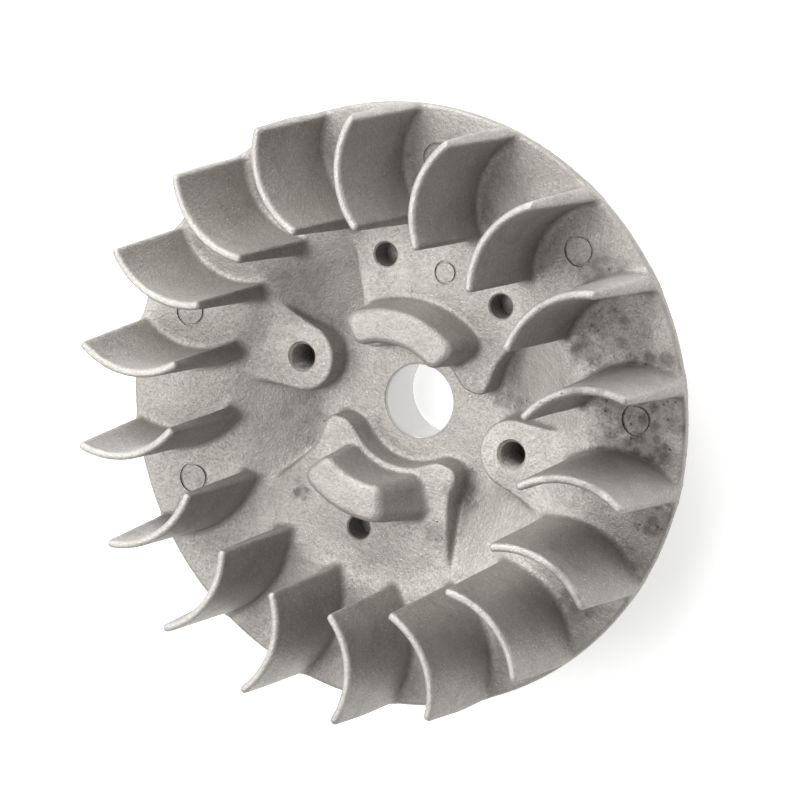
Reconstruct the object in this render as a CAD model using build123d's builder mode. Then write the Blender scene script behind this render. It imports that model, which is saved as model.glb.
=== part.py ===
from build123d import *
import os
from math import atan2, cos, degrees, hypot, radians, sin, tan

# Fan flywheel of a small two-stroke engine.
# +Z runs along the crankshaft axis towards the fan blades.  The origin is on that axis, in the plane of
# the back face, which is what the part rests on.  The two starter-pawl pivots lie on the X axis, the
# magnets are on the +Y side and the counterweight on the -Y side.  All sizes are millimetres.

# ---- disc ----
disc_radius = 50.0
rim_height = 21.3
rim_thickness = 2.0
web_thickness = 2.4
shoulder_radius = 31.0
shoulder_drop = 1.2
floor_radius = 17.5
floor_drop = 7.9
dish_blend_radius = 8.0

# ---- hub and its tapered bore ----
hub_radius = 11.0
bore_small_radius = 6.0
bore_taper = 0.1
bore_mouth_chamfer = 0.35
key_width = 3.0
key_length = 8.0
key_reach = 5.3

# ---- fan blades ----
blade_count = 18
blade_height = 21.2
blade_top_thickness = 1.35
blade_foot_thickness = 3.1
blade_tip_inset = 1.25
blade_root_radius = 31.1
blade_root_lag = 2.4
blade_camber = 3.07
blade_tip_draft = 2.2
blade_root_draft = 0.3
blade_first_angle = 7.7
blade_edge_radius = 0.5

# ---- raised pads on the front ----
pad_drop = 2.4
pad_inner_radius = 10.4
pad_half_width = 12.7
pad_lobe_start = 6.5
pad_waist = 12.5
pad_outer_radius = 29.5
pad_wide_flare = 30.0
pad_narrow_flare = 21.5
pad_corner_radius = 2.8

# ---- starter-pawl bosses, with a threaded pivot hole in each ----
boss_offset = 20.3
boss_radius = 5.8
boss_length = 9.0
boss_flare = 1.6
post_radius = 5.0
post_bottom = 4.0
pawl_thread_radius = 2.1
pawl_mouth_radius = 2.6
pawl_thread_depth = 12.0

# ---- curved guard lugs beside the pawls ----
lug_height = 9.6
lug_draft = 0.6
lug_corner_radius = 2.0
lug_edge_radius = 1.1
magnet_lug_inner = 10.8
magnet_lug_outer = 17.7
magnet_lug_start = 56.0
magnet_lug_end = 136.0
weight_lug_inner = 11.5
weight_lug_outer = 19.0
weight_lug_start = 235.0
weight_lug_end = 304.0
weight_lug_ramp = 12.0

# ---- back drum ----
drum_radius = 39.0
drum_wall = 4.0
rib_thickness = 2.4
rib_bottom = 4.0
housing_side_cover = 1.2
housing_end_cover = 2.5

# ---- magnet assembly; it and the counterweight sit a little to the -X side of the Y axis ----
insert_shift = -0.8
lamination_count = 12
lamination_thickness = 1.0
stack_bottom = 2.0
pole_length = 20.5
pole_leg_width = 7.0
pole_toe_width = 4.0
pole_toe_depth = 8.0
magnet_width = 15.0
magnet_length = 9.0
magnet_cover = 3.5
rivet_radius = 1.5
rivet_head_radius = 2.4
rivet_head_height = 0.8
rivet_depths = (17.0, 6.0)

# ---- counterweight ----
weight_depth = 15.5
weight_cover = 3.5
weight_half_angle = 27.0

# ---- small cast details ----
locating_hole_radius = 2.0
weight_hole_inset = 2.8
mark_radius = 2.6
mark_depth = 0.2
mark_ring_radius = 41.5
mark_first_angle = 20.7
mark_count = 9
pad_mark_radius = 2.0
pad_mark_offset = 23.4

# ---- derived heights and places ----
floor_height = rim_height - floor_drop
shoulder_height = rim_height - shoulder_drop
pad_height = rim_height - pad_drop
blade_top = rim_height + blade_height
bore_back_radius = bore_small_radius + bore_taper * floor_height
stack_height = lamination_count * lamination_thickness
stack_top = stack_bottom + stack_height
pole_inner = drum_radius - pole_length
pole_leg_start = magnet_width / 2
pole_leg_end = pole_leg_start + pole_leg_width
pole_toe_end = pole_leg_end + pole_toe_width
pole_toe_start = drum_radius - pole_toe_depth
magnet_inner = drum_radius - magnet_cover - magnet_length
rivet_offset = pole_leg_start + pole_leg_width / 2
rivet_rows = [drum_radius - depth for depth in rivet_depths]
rivet_points = [(insert_shift + side * rivet_offset, row) for side in (-1, 1) for row in rivet_rows]
weight_outer = drum_radius - weight_cover
weight_inner = weight_outer - weight_depth
weight_hole_offset = weight_inner + weight_hole_inset
housing_half_width = abs(insert_shift) + pole_toe_end + housing_side_cover
housing_inner = pole_inner - housing_end_cover
mark_height = rim_height - shoulder_drop * (disc_radius - mark_ring_radius) / (disc_radius - shoulder_radius)
upright = (Align.CENTER, Align.CENTER, Align.MIN)

os.makedirs("parts", exist_ok=True)


def save(builder, name):
    """Label a finished piece and write it to its own file."""
    builder.part.label = name
    export_step(builder.part, f"parts/{name}.step")


def polar(radius, angle, centre=(0, 0)):
    """Point at a radius and an angle in degrees around a centre."""
    return (centre[0] + radius * cos(radians(angle)), centre[1] + radius * sin(radians(angle)))


def sector_outline(inner, outer, start, end, centre=(0, 0)):
    """Draw an annular sector in the current sketch."""
    with BuildLine() as outline:
        far = CenterArc(centre, outer, start, end - start)
        near = CenterArc(centre, inner, start, end - start)
        Line(far @ 0, near @ 0)
        Line(far @ 1, near @ 1)
    make_face(outline.edges())


def closed_outline(points):
    """Draw a straight-sided outline in the current sketch."""
    with BuildLine() as outline:
        Polyline(*points, close=True)
    make_face(outline.edges())


# ======== envelopes: the space below the front face, and below the web ========


def solid_below(web_inset, rim_inset):
    """Solid of revolution from the back plane up to the dished face, lowered by an inset."""
    with BuildPart() as below:
        with BuildSketch(Plane.XZ) as half:
            closed_outline([
                (0, 0),
                (0, floor_height - web_inset),
                (floor_radius, floor_height - web_inset),
                (shoulder_radius, shoulder_height - web_inset),
                (disc_radius, rim_height - rim_inset),
                (disc_radius, 0),
            ])
            bends = half.vertices().filter_by(lambda v: 0 < v.X < disc_radius)
            fillet(bends, dish_blend_radius)
        revolve(axis=Axis.Z)
    return below


below_front = solid_below(0, 0)
below_web = solid_below(web_thickness, rim_thickness)


# ======== magnet assembly: two laminated pole shoes, the magnet between them, four rivets ========


def pole_outline(side):
    """Draw one pole shoe's plan, an L whose outer edge is flush with the drum."""
    leg_start = insert_shift + side * pole_leg_start
    leg_end = insert_shift + side * pole_leg_end
    toe_end = insert_shift + side * pole_toe_end
    closed_outline([
        (leg_start, pole_inner),
        (leg_end, pole_inner),
        (leg_end, pole_toe_start),
        (toe_end, pole_toe_start + pole_toe_width),
        (toe_end, drum_radius),
        (leg_start, drum_radius),
    ])
    Circle(drum_radius, mode=Mode.INTERSECT)


def pole_lamination(side, number):
    """One stamped sheet of a pole shoe."""
    bottom = stack_bottom + (number - 1) * lamination_thickness
    with BuildPart() as lamination:
        with BuildSketch(Plane.XY.offset(bottom)):
            pole_outline(side)
            with Locations(*rivet_points):
                Circle(rivet_radius, mode=Mode.SUBTRACT)
        extrude(amount=lamination_thickness)
    return lamination


for side, side_name in ((-1, "left"), (1, "right")):
    for number in range(1, lamination_count + 1):
        save(pole_lamination(side, number), f"pole_lamination_{side_name}_{number:02d}")

with BuildPart() as magnet:
    with BuildSketch(Plane.XY.offset(stack_bottom)):
        with Locations((insert_shift, magnet_inner)):
            Rectangle(magnet_width, magnet_length, align=(Align.CENTER, Align.MIN))
    extrude(amount=stack_height)
save(magnet, "permanent_magnet")

with BuildPart() as rivets:
    with Locations(*[(x, y, stack_bottom) for x, y in rivet_points]):
        Cylinder(rivet_radius, stack_height, align=upright)
    with Locations(*[(x, y, stack_bottom - rivet_head_height) for x, y in rivet_points]):
        Cylinder(rivet_head_radius, rivet_head_height, align=upright)
    with Locations(*[(x, y, stack_top) for x, y in rivet_points]):
        Cylinder(rivet_head_radius, rivet_head_height, align=upright)
save(rivets, "pole_rivets")

# ======== counterweight opposite the magnet ========

with BuildPart() as counterweight:
    with BuildSketch(Plane.XY.offset(stack_bottom)):
        start = 270 - weight_half_angle
        end = 270 + weight_half_angle
        sector_outline(weight_inner, weight_outer, start, end, (insert_shift, 0))
    extrude(amount=stack_height)
save(counterweight, "counterweight")

# The room that everything cast into the aluminium takes up.
with BuildPart() as inserts:
    with BuildSketch(Plane.XY.offset(stack_bottom)):
        for side in (-1, 1):
            pole_outline(side)
    extrude(amount=stack_height)
    add(magnet.part)
    add(rivets.part)
    add(counterweight.part)


# ======== casting, front disc: web, rim, hub, pads, pawl bosses ========


def pad_outline(side):
    """Draw a raised pad's plan: two lobes beside the hub, then sides that flare out to the dish."""
    reach = pad_outer_radius
    wide = pad_half_width + (reach - pad_waist) * tan(radians(pad_wide_flare))
    narrow = pad_half_width + (reach - pad_waist) * tan(radians(pad_narrow_flare))
    closed_outline([
        (-pad_half_width, side * pad_lobe_start),
        (pad_half_width, side * pad_lobe_start),
        (pad_half_width, side * pad_waist),
        (narrow, side * reach),
        (-wide, side * reach),
        (-pad_half_width, side * pad_waist),
    ])
    Circle(pad_outer_radius, mode=Mode.INTERSECT)
    Circle(pad_inner_radius, mode=Mode.SUBTRACT)


def boss_outline(side):
    """Draw a pawl boss's plan: round towards the hub, widening into the slope of the dish."""
    with Locations((side * boss_offset, 0)):
        Circle(boss_radius)
    closed_outline([
        (side * boss_offset, -boss_radius),
        (side * (boss_offset + boss_length), -boss_radius - boss_flare),
        (side * (boss_offset + boss_length), boss_radius + boss_flare),
        (side * boss_offset, boss_radius),
    ])


with BuildPart() as casting_disc:
    add(below_front.part)
    for side in (-1, 1):
        with BuildSketch(Plane.XY.offset(pad_height)) as pad_plan:
            pad_outline(side)
            fillet(pad_plan.vertices().filter_by(lambda v: abs(v.Y) < pad_waist - 0.1), pad_corner_radius)
        extrude(amount=floor_height - pad_height)
        with BuildSketch(Plane.XY.offset(pad_height)):
            boss_outline(side)
        extrude(amount=floor_height - pad_height)
    add(below_web.part, mode=Mode.SUBTRACT)

    # Hub, the posts behind the pawl bosses, and the rib that joins them.
    Cylinder(hub_radius, floor_height, align=upright)
    with Locations(*[(side * boss_offset, 0, post_bottom) for side in (-1, 1)]):
        Cylinder(post_radius, floor_height - post_bottom, align=upright)
    with Locations((0, 0, rib_bottom)):
        Box(2 * boss_offset, rib_thickness, floor_height - rib_bottom, align=upright)

    # Tapered bore with its drive key.
    Cone(bore_back_radius, bore_small_radius, floor_height, align=upright, mode=Mode.SUBTRACT)
    mouth = casting_disc.edges().filter_by(GeomType.CIRCLE).sort_by(Axis.Z)
    chamfer([e for e in mouth if abs(e.radius - bore_small_radius) < 0.01], bore_mouth_chamfer)
    with Locations((key_reach, 0, 0)):
        Box(hub_radius - key_reach - 1, key_width, key_length, align=(Align.MIN, Align.CENTER, Align.MIN))

    # Threaded pivot holes for the pawls.
    with Locations(*[(side * boss_offset, 0, pad_height) for side in (-1, 1)]):
        CounterSinkHole(pawl_thread_radius, pawl_mouth_radius, depth=pawl_thread_depth, counter_sink_angle=90)

    # Locating-pin holes that reach the inner rivets and the counterweight.
    pins = [(insert_shift + side * rivet_offset, rivet_rows[0], pad_height) for side in (-1, 1)]
    with Locations(*pins, (insert_shift, -weight_hole_offset, pad_height)):
        Hole(locating_hole_radius, depth=pad_height - stack_top)
    add(inserts.part, mode=Mode.SUBTRACT)

    # Ejector-pin marks on the outer ring.
    with BuildSketch(Plane.XY.offset(mark_height - mark_depth)):
        with PolarLocations(mark_ring_radius, mark_count, start_angle=mark_first_angle):
            Circle(mark_radius)
    extrude(amount=shoulder_drop, mode=Mode.SUBTRACT)
    with Locations((insert_shift, pad_mark_offset, pad_height)):
        Hole(pad_mark_radius, depth=mark_depth)
save(casting_disc, "casting_disc")


# ======== casting, back drum: two insert housings and the wall between them ========


def insert_housing(side):
    """One thick block of the drum, solid around what is cast into it."""
    with BuildPart() as housing:
        with BuildSketch():
            with Locations((0, side * (housing_inner + drum_radius) / 2)):
                Rectangle(2 * housing_half_width, drum_radius - housing_inner)
            Circle(drum_radius, mode=Mode.INTERSECT)
            Circle(hub_radius, mode=Mode.SUBTRACT)
        extrude(amount=rim_height)
        add(below_web.part, mode=Mode.INTERSECT)
        add(inserts.part, mode=Mode.SUBTRACT)
    return housing


save(insert_housing(1), "casting_magnet_housing")
save(insert_housing(-1), "casting_counterweight_housing")


def drum_wall_half(side):
    """The curved wall between the housings on one side, with the rib from its pawl post."""
    with BuildPart() as wall:
        with BuildSketch():
            Circle(drum_radius)
            Circle(drum_radius - drum_wall, mode=Mode.SUBTRACT)
            with Locations((side * (housing_half_width + drum_radius / 2), 0)):
                Rectangle(drum_radius, 2 * drum_radius, mode=Mode.INTERSECT)
        extrude(amount=rim_height)
        with BuildSketch(Plane.XY.offset(rib_bottom)):
            with Locations((side * (boss_offset + drum_radius - drum_wall / 2) / 2, 0)):
                Rectangle(drum_radius - drum_wall / 2 - boss_offset, rib_thickness)
            with Locations((side * boss_offset, 0)):
                Circle(post_radius, mode=Mode.SUBTRACT)
        extrude(amount=rim_height - rib_bottom)
        add(below_web.part, mode=Mode.INTERSECT)
    return wall


save(drum_wall_half(-1), "casting_drum_wall_left")
save(drum_wall_half(1), "casting_drum_wall_right")


# ======== casting, curved guard lugs that stand on the pads ========


def guard_lug(inner, outer, start, end, ramp):
    """A curved lug with drafted walls; its end may lean back by a ramp angle."""
    lean = degrees(2 * lug_draft / (inner + outer))
    with BuildPart() as lug:
        with BuildSketch(Plane.XY.offset(pad_height)) as foot:
            sector_outline(inner, outer, start, end)
            fillet(foot.vertices(), lug_corner_radius)
        with BuildSketch(Plane.XY.offset(pad_height + lug_height)) as top:
            sector_outline(inner + lug_draft, outer - lug_draft, start + lean, end - lean - ramp)
            fillet(top.vertices(), lug_corner_radius - lug_draft / 2)
        loft(ruled=True)
        fillet(lug.faces().sort_by(Axis.Z)[-1].edges(), lug_edge_radius)
    return lug


magnet_lug = guard_lug(magnet_lug_inner, magnet_lug_outer, magnet_lug_start, magnet_lug_end, 0)
save(magnet_lug, "pawl_guard_magnet_side")
weight_lug = guard_lug(weight_lug_inner, weight_lug_outer, weight_lug_start, weight_lug_end, weight_lug_ramp)
save(weight_lug, "pawl_guard_counterweight_side")


# ======== casting, fan blades ========

# The centreline of a blade's plan is one arc from its tip to its root, seen here with the tip on +X.
blade_tip = (disc_radius - blade_tip_inset, 0)
blade_root = polar(blade_root_radius, -blade_root_lag)
blade_chord = hypot(blade_tip[0] - blade_root[0], blade_tip[1] - blade_root[1])
blade_arc_radius = blade_chord**2 / (8 * blade_camber) + blade_camber / 2
chord_angle = degrees(atan2(blade_tip[1] - blade_root[1], blade_tip[0] - blade_root[0]))
chord_middle = ((blade_tip[0] + blade_root[0]) / 2, (blade_tip[1] + blade_root[1]) / 2)
to_centre = polar(blade_arc_radius - blade_camber, chord_angle - 90)
blade_centre = (chord_middle[0] + to_centre[0], chord_middle[1] + to_centre[1])
tip_angle = degrees(atan2(blade_tip[1] - blade_centre[1], blade_tip[0] - blade_centre[0]))
root_angle = degrees(atan2(blade_root[1] - blade_centre[1], blade_root[0] - blade_centre[0]))


def blade_outline(thickness, tip_growth, root_growth):
    """Draw a blade's plan at one height, grown at its ends along its arc."""
    first = tip_angle - degrees(tip_growth / blade_arc_radius)
    last = root_angle + degrees(root_growth / blade_arc_radius)
    outer = blade_arc_radius + thickness / 2
    inner = blade_arc_radius - thickness / 2
    sector_outline(inner, outer, first, last, blade_centre)


def fan_blade(angle):
    """One curved blade, drafted from its foot in the dish to its rounded top edge."""
    with BuildPart() as blade:
        with BuildSketch(Plane.XY.offset(floor_height).rotated((0, 0, angle))):
            blade_outline(blade_foot_thickness, blade_tip_draft, blade_root_draft)
        with BuildSketch(Plane.XY.offset(blade_top).rotated((0, 0, angle))):
            blade_outline(blade_top_thickness, 0, 0)
        loft(ruled=True)
        Cylinder(disc_radius, blade_top, align=upright, mode=Mode.INTERSECT)
        add(below_front.part, mode=Mode.SUBTRACT)
        fillet(blade.faces().sort_by(Axis.Z)[-1].edges(), blade_edge_radius)
    return blade


for number in range(1, blade_count + 1):
    blade_angle = blade_first_angle + (number - 1) * 360 / blade_count
    save(fan_blade(blade_angle), f"fan_blade_{number:02d}")
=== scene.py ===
"""Looks of the fan flywheel: its casting as one piece with cast fillets, and the cast-in steel and magnet.

The part's sizes are in millimetres, and MM turns them into metres. Names that end in _M are in metres.
"""
import math

import bpy
import numpy as np
import openvdb
from mathutils import Matrix, Vector


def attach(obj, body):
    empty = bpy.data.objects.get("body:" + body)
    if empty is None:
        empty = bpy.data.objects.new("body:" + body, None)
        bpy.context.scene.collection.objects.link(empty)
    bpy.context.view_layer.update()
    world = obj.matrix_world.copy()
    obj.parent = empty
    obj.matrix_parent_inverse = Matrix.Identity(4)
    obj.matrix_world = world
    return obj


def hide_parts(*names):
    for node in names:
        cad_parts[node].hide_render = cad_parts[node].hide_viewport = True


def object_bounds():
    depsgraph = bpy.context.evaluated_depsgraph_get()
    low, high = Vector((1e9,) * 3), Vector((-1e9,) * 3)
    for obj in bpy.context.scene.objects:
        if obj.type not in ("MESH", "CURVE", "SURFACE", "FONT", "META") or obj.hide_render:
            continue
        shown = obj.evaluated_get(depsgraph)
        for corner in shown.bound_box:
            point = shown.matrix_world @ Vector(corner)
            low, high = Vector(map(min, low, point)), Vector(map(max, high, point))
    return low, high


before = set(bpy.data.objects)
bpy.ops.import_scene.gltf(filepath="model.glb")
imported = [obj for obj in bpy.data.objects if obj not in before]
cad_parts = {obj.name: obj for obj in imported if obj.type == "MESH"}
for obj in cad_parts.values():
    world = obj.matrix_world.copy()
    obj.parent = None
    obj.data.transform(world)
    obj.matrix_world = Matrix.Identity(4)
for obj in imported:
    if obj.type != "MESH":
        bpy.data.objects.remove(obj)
cad_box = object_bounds()

MM = 0.001

# ---- sizes of the casting and its inserts, as in the CAD model ----
DISC_RADIUS = 50.0
RIM_HEIGHT = 21.3
RIM_THICKNESS = 2.0
WEB_THICKNESS = 2.4
SHOULDER_RADIUS = 31.0
SHOULDER_HEIGHT = RIM_HEIGHT - 1.2
FLOOR_RADIUS = 17.5
FLOOR_HEIGHT = RIM_HEIGHT - 7.9
HUB_RADIUS = 11.0
BORE_FRONT_RADIUS = 6.0
BORE_TAPER = 0.1
BORE_BACK_RADIUS = BORE_FRONT_RADIUS + BORE_TAPER * FLOOR_HEIGHT
KEY = dict(width=3.0, length=8.0, reach=5.3)
BLADES = 18
BLADE_TOP = 42.5
BLADE_TOP_THICKNESS = 1.35
BLADE_FOOT_THICKNESS = 3.1
BLADE_TIP_RADIUS = DISC_RADIUS - 1.25
BLADE_ROOT_RADIUS = 31.1
BLADE_ROOT_LAG = 2.4
BLADE_CAMBER = 3.07
BLADE_TIP_DRAFT = 2.2
BLADE_ROOT_DRAFT = 0.3
BLADE_FIRST_ANGLE = 7.7
PAD_HEIGHT = RIM_HEIGHT - 2.4
PAD_INNER_RADIUS = 10.4
PAD_HALF_WIDTH = 12.7
PAD_LOBE_START = 6.5
PAD_WAIST = 12.5
PAD_OUTER_RADIUS = 29.5
PAD_WIDE_FLARE = 30.0
PAD_NARROW_FLARE = 21.5
BOSS_OFFSET = 20.3
BOSS_RADIUS = 5.8
BOSS_LENGTH = 9.0
BOSS_FLARE = 1.6
POST_RADIUS = 5.0
POST_BOTTOM = 4.0
PAWL_THREAD_RADIUS = 2.1
PAWL_MOUTH_RADIUS = 2.6
PAWL_THREAD_DEPTH = 12.0
THREAD_PITCH = 0.8
LUG_HEIGHT = 9.6
LUG_DRAFT = 0.6
LUG_CORNER = 2.0
MAGNET_LUG = dict(inner=10.8, outer=17.7, start=56.0, end=136.0, ramp=0.0)
WEIGHT_LUG = dict(inner=11.5, outer=19.0, start=235.0, end=304.0, ramp=12.0)
DRUM_RADIUS = 39.0
DRUM_WALL = 4.0
RIB_THICKNESS = 2.4
RIB_BOTTOM = 4.0
HOUSING_HALF_WIDTH = 20.5
HOUSING_INNER = 16.0
INSERT_SHIFT = -0.8
STACK_BOTTOM = 2.0
STACK_TOP = 14.0
SHEET = 1.0
POLE_INNER = 18.5
POLE_LEG = (7.5, 14.5)
POLE_TOE_WIDTH = 4.0
POLE_TOE_START = 31.0
MAGNET_SPAN = (26.5, 35.5)
RIVET_ROWS = (22.0, 33.0)
RIVET_HEAD_RADIUS = 2.4
RIVET_HEAD_HEIGHT = 0.8
WEIGHT_SPAN = (20.0, 35.5)
WEIGHT_HALF_ANGLE = 27.0
LOCATING_HOLE_RADIUS = 2.0
WEIGHT_HOLE_OFFSET = 22.8
MARK_RADIUS = 2.6
MARK_RING = 41.5
MARK_FIRST_ANGLE = 20.7
MARKS = 9
PAD_MARK = (INSERT_SHIFT, 23.4, 2.0)  # x, y and radius

# ---- what the CAD model leaves out: rounded outer edges, and fillets where solids meet ----
RIM_EDGE = 0.7
PAD_EDGE = 0.55
PAD_CORNER_REACH = 1.15
BOSS_EDGE = 0.5
LUG_EDGE = 1.2
DRUM_EDGE = 0.4
POST_EDGE = 0.5
BLADE_EDGE = 0.5
FLOOR_BEND = 1.2
SHOULDER_BEND = 1.0
NO_FILLET = 0.01
DRUM_FILLET = 1.6
HOUSING_FILLET = 2.0
PAD_FILLET = 1.1
LUG_FILLET = 0.9
BLADE_FILLET = 1.3
ROOT = 2.0  # how deep a pad, boss or lug starts below the face it stands on
BLADE_ROOT = 1.2  # how deep a blade reaches into the web

# ---- details cut into the casting ----
BORE_CHAMFER = 0.35
BACK_CHAMFER = 0.3
KEY_CHAMFER = 0.3
KEY_LIFT = 0.02
THREAD_SIDES = 48
THREAD_RINGS_PER_TURN = 8
THREAD_DEPTH = 0.6 * THREAD_PITCH
DRILL_TIP = 1.1
HOLE_DRAFT = 0.15
HOLE_CHAMFER = 0.25
HOLE_CLEAR = (0.6, 0.4)
MARK_GROOVE = 0.5
PAD_MARK_GROOVE = 0.45
MARK_DEPTH = 0.35

# ---- resolution of the casting's mesh ----
VOXEL = 0.36
BAND = 3 * VOXEL
MARGIN = 4 * VOXEL
CASTING_TRIANGLES = 145_000
SHARP_ANGLE = 42  # degrees


# ======== distance fields ========
# Each field gives the distance in millimetres to a solid's surface, negative inside.


def smooth_union(a, b, blend):
    """Union of two fields with a fillet where they meet."""
    share = np.clip(0.5 + 0.5 * (b - a) / blend, 0, 1)
    return b + (a - b) * share - blend * share * (1 - share)


def smooth_meet(a, b, blend):
    """Intersection of two fields with a rounded edge."""
    return -smooth_union(-a, -b, blend)


def extruded(flat, z, bottom, top, edge):
    """A plan's field between two heights, with its edges rounded."""
    low = np.maximum(bottom - z, z - top)
    dx = flat + edge
    dz = low + edge
    outside = np.hypot(np.maximum(dx, 0), np.maximum(dz, 0))
    return np.minimum(np.maximum(dx, dz), 0) + outside - edge


def polygon_field(x, y, points):
    """Distance to a closed polygon's outline."""
    nearest = np.full(np.broadcast(x, y).shape, np.inf)
    inside = np.zeros(nearest.shape, bool)
    for (ax, ay), (bx, by) in zip(points, points[1:] + points[:1]):
        ex, ey = bx - ax, by - ay
        share = np.clip(((x - ax) * ex + (y - ay) * ey) / (ex * ex + ey * ey), 0, 1)
        away = (x - ax - share * ex) ** 2 + (y - ay - share * ey) ** 2
        nearest = np.minimum(nearest, away)
        if ay != by:
            crosses = (ay > y) != (by > y)
            inside ^= crosses & (x < ex * (y - ay) / ey + ax)
    return np.sqrt(nearest) * np.where(inside, -1, 1)


def rounded_box(x, y, half_x, half_y, corner):
    """Distance to a rectangle with rounded corners."""
    dx = np.abs(x) - half_x + corner
    dy = np.abs(y) - half_y + corner
    outside = np.hypot(np.maximum(dx, 0), np.maximum(dy, 0))
    return np.minimum(np.maximum(dx, dy), 0) + outside - corner


def dish_profile(radius, lowered, rim_lowered):
    """Height of the dished face at a radius, with its two bends rounded.

    The dish and the rim are lowered by their own amounts, which gives the face on the other side.
    """
    floor = np.full_like(radius, FLOOR_HEIGHT - lowered)
    slope = (SHOULDER_HEIGHT - FLOOR_HEIGHT) / (SHOULDER_RADIUS - FLOOR_RADIUS)
    cone = FLOOR_HEIGHT - lowered + slope * (radius - FLOOR_RADIUS)
    rise = (RIM_HEIGHT - rim_lowered) - (SHOULDER_HEIGHT - lowered)
    rim = SHOULDER_HEIGHT - lowered + rise * (radius - SHOULDER_RADIUS) / (DISC_RADIUS - SHOULDER_RADIUS)
    low = smooth_union(-floor, -cone, FLOOR_BEND)
    return smooth_union(-low, rim, SHOULDER_BEND)


def pad_points(side):
    """Corners of a raised pad's plan."""
    wide = PAD_HALF_WIDTH + (PAD_OUTER_RADIUS - PAD_WAIST) * math.tan(math.radians(PAD_WIDE_FLARE))
    narrow = PAD_HALF_WIDTH + (PAD_OUTER_RADIUS - PAD_WAIST) * math.tan(math.radians(PAD_NARROW_FLARE))
    return [
        (-PAD_HALF_WIDTH, side * PAD_LOBE_START),
        (PAD_HALF_WIDTH, side * PAD_LOBE_START),
        (PAD_HALF_WIDTH, side * PAD_WAIST),
        (narrow, side * PAD_OUTER_RADIUS),
        (-wide, side * PAD_OUTER_RADIUS),
        (-PAD_HALF_WIDTH, side * PAD_WAIST),
    ]


# ======== the casting as one field ========


class Field:
    """A block of voxels round the casting, and the solids blended into it."""

    def __init__(self, low, high):
        self.low = np.array(low) - MARGIN
        counts = np.ceil((np.array(high) + MARGIN - self.low) / VOXEL).astype(int) + 1
        self.values = np.full(counts, BAND, np.float32)
        self.axes = [self.low[axis] + VOXEL * np.arange(counts[axis]) for axis in range(3)]

    def region(self, low, high):
        """Slices and coordinates of the voxels between two corners."""
        cuts = []
        for axis, places in enumerate(self.axes):
            first = int(np.searchsorted(places, low[axis] - MARGIN))
            last = int(np.searchsorted(places, high[axis] + MARGIN))
            cuts.append(slice(first, last))
        x = self.axes[0][cuts[0]][:, None, None].astype(np.float32)
        y = self.axes[1][cuts[1]][None, :, None].astype(np.float32)
        z = self.axes[2][cuts[2]][None, None, :].astype(np.float32)
        return tuple(cuts), x, y, z

    def join(self, solid, low, high, blend):
        """Blend one solid in; solid(x, y, z) gives its distances."""
        cuts, x, y, z = self.region(low, high)
        self.values[cuts] = smooth_union(self.values[cuts], solid(x, y, z), blend)


def softened(flat, reach):
    """A plan's field with its corners rounded by averaging over a reach in millimetres."""
    steps = int(math.ceil(2.5 * reach / VOXEL))
    weights = np.exp(-0.5 * (np.arange(-steps, steps + 1) * VOXEL / reach) ** 2)
    weights /= weights.sum()
    for axis in (0, 1):
        spread = [(steps, steps) if other == axis else (0, 0) for other in range(flat.ndim)]
        padded = np.pad(flat, spread, mode="edge")
        size = flat.shape[axis]
        flat = sum(
            weight * np.take(padded, np.arange(step, step + size), axis=axis)
            for step, weight in enumerate(weights)
        )
    return flat


def web_top(radius):
    return dish_profile(radius, 0, 0)


def web_bottom(radius):
    return dish_profile(radius, WEB_THICKNESS, RIM_THICKNESS)


def steepness(radius):
    """Cosine of the dish's slope, which turns heights into distances."""
    step = 0.2
    rise = web_top(radius + step) - web_top(radius - step)
    return 1 / np.sqrt(1 + (rise / (2 * step)) ** 2)


def disc_field(x, y, z):
    radius = np.hypot(x, y)
    slope = steepness(radius)
    slab = np.maximum((z - web_top(radius)) * slope, (web_bottom(radius) - z) * slope)
    return smooth_meet(slab, radius - DISC_RADIUS, RIM_EDGE)


def above_web(x, y, z, solid, sink):
    """Keep a solid from showing below the web."""
    return np.maximum(solid, web_top(np.hypot(x, y)) - sink - z)


def pad_field(side):
    """A raised pad with flared sides: the magnet's is on +Y, the counterweight's on -Y."""
    def solid(x, y, z):
        radius = np.hypot(x, y)
        plan = polygon_field(x, y, pad_points(side))
        plan = np.maximum(plan, PAD_INNER_RADIUS - radius)
        plan = softened(plan, PAD_CORNER_REACH)
        plan = np.maximum(plan, radius - PAD_OUTER_RADIUS)
        pad = extruded(plan, z, FLOOR_HEIGHT - ROOT, PAD_HEIGHT, PAD_EDGE)
        return above_web(x, y, z, pad, WEB_THICKNESS)
    return solid


def boss_field(side):
    """A pawl's boss, whose sides run out into the dish."""
    def solid(x, y, z):
        near = side * BOSS_OFFSET
        far = side * (BOSS_OFFSET + BOSS_LENGTH)
        spread = BOSS_RADIUS + BOSS_FLARE
        corners = [(near, -BOSS_RADIUS), (far, -spread), (far, spread), (near, BOSS_RADIUS)]
        plan = np.minimum(np.hypot(x - near, y) - BOSS_RADIUS, polygon_field(x, y, corners))
        plan = softened(plan, BOSS_EDGE)
        boss = extruded(plan, z, FLOOR_HEIGHT - ROOT, PAD_HEIGHT, BOSS_EDGE)
        return above_web(x, y, z, boss, WEB_THICKNESS)
    return solid


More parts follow.
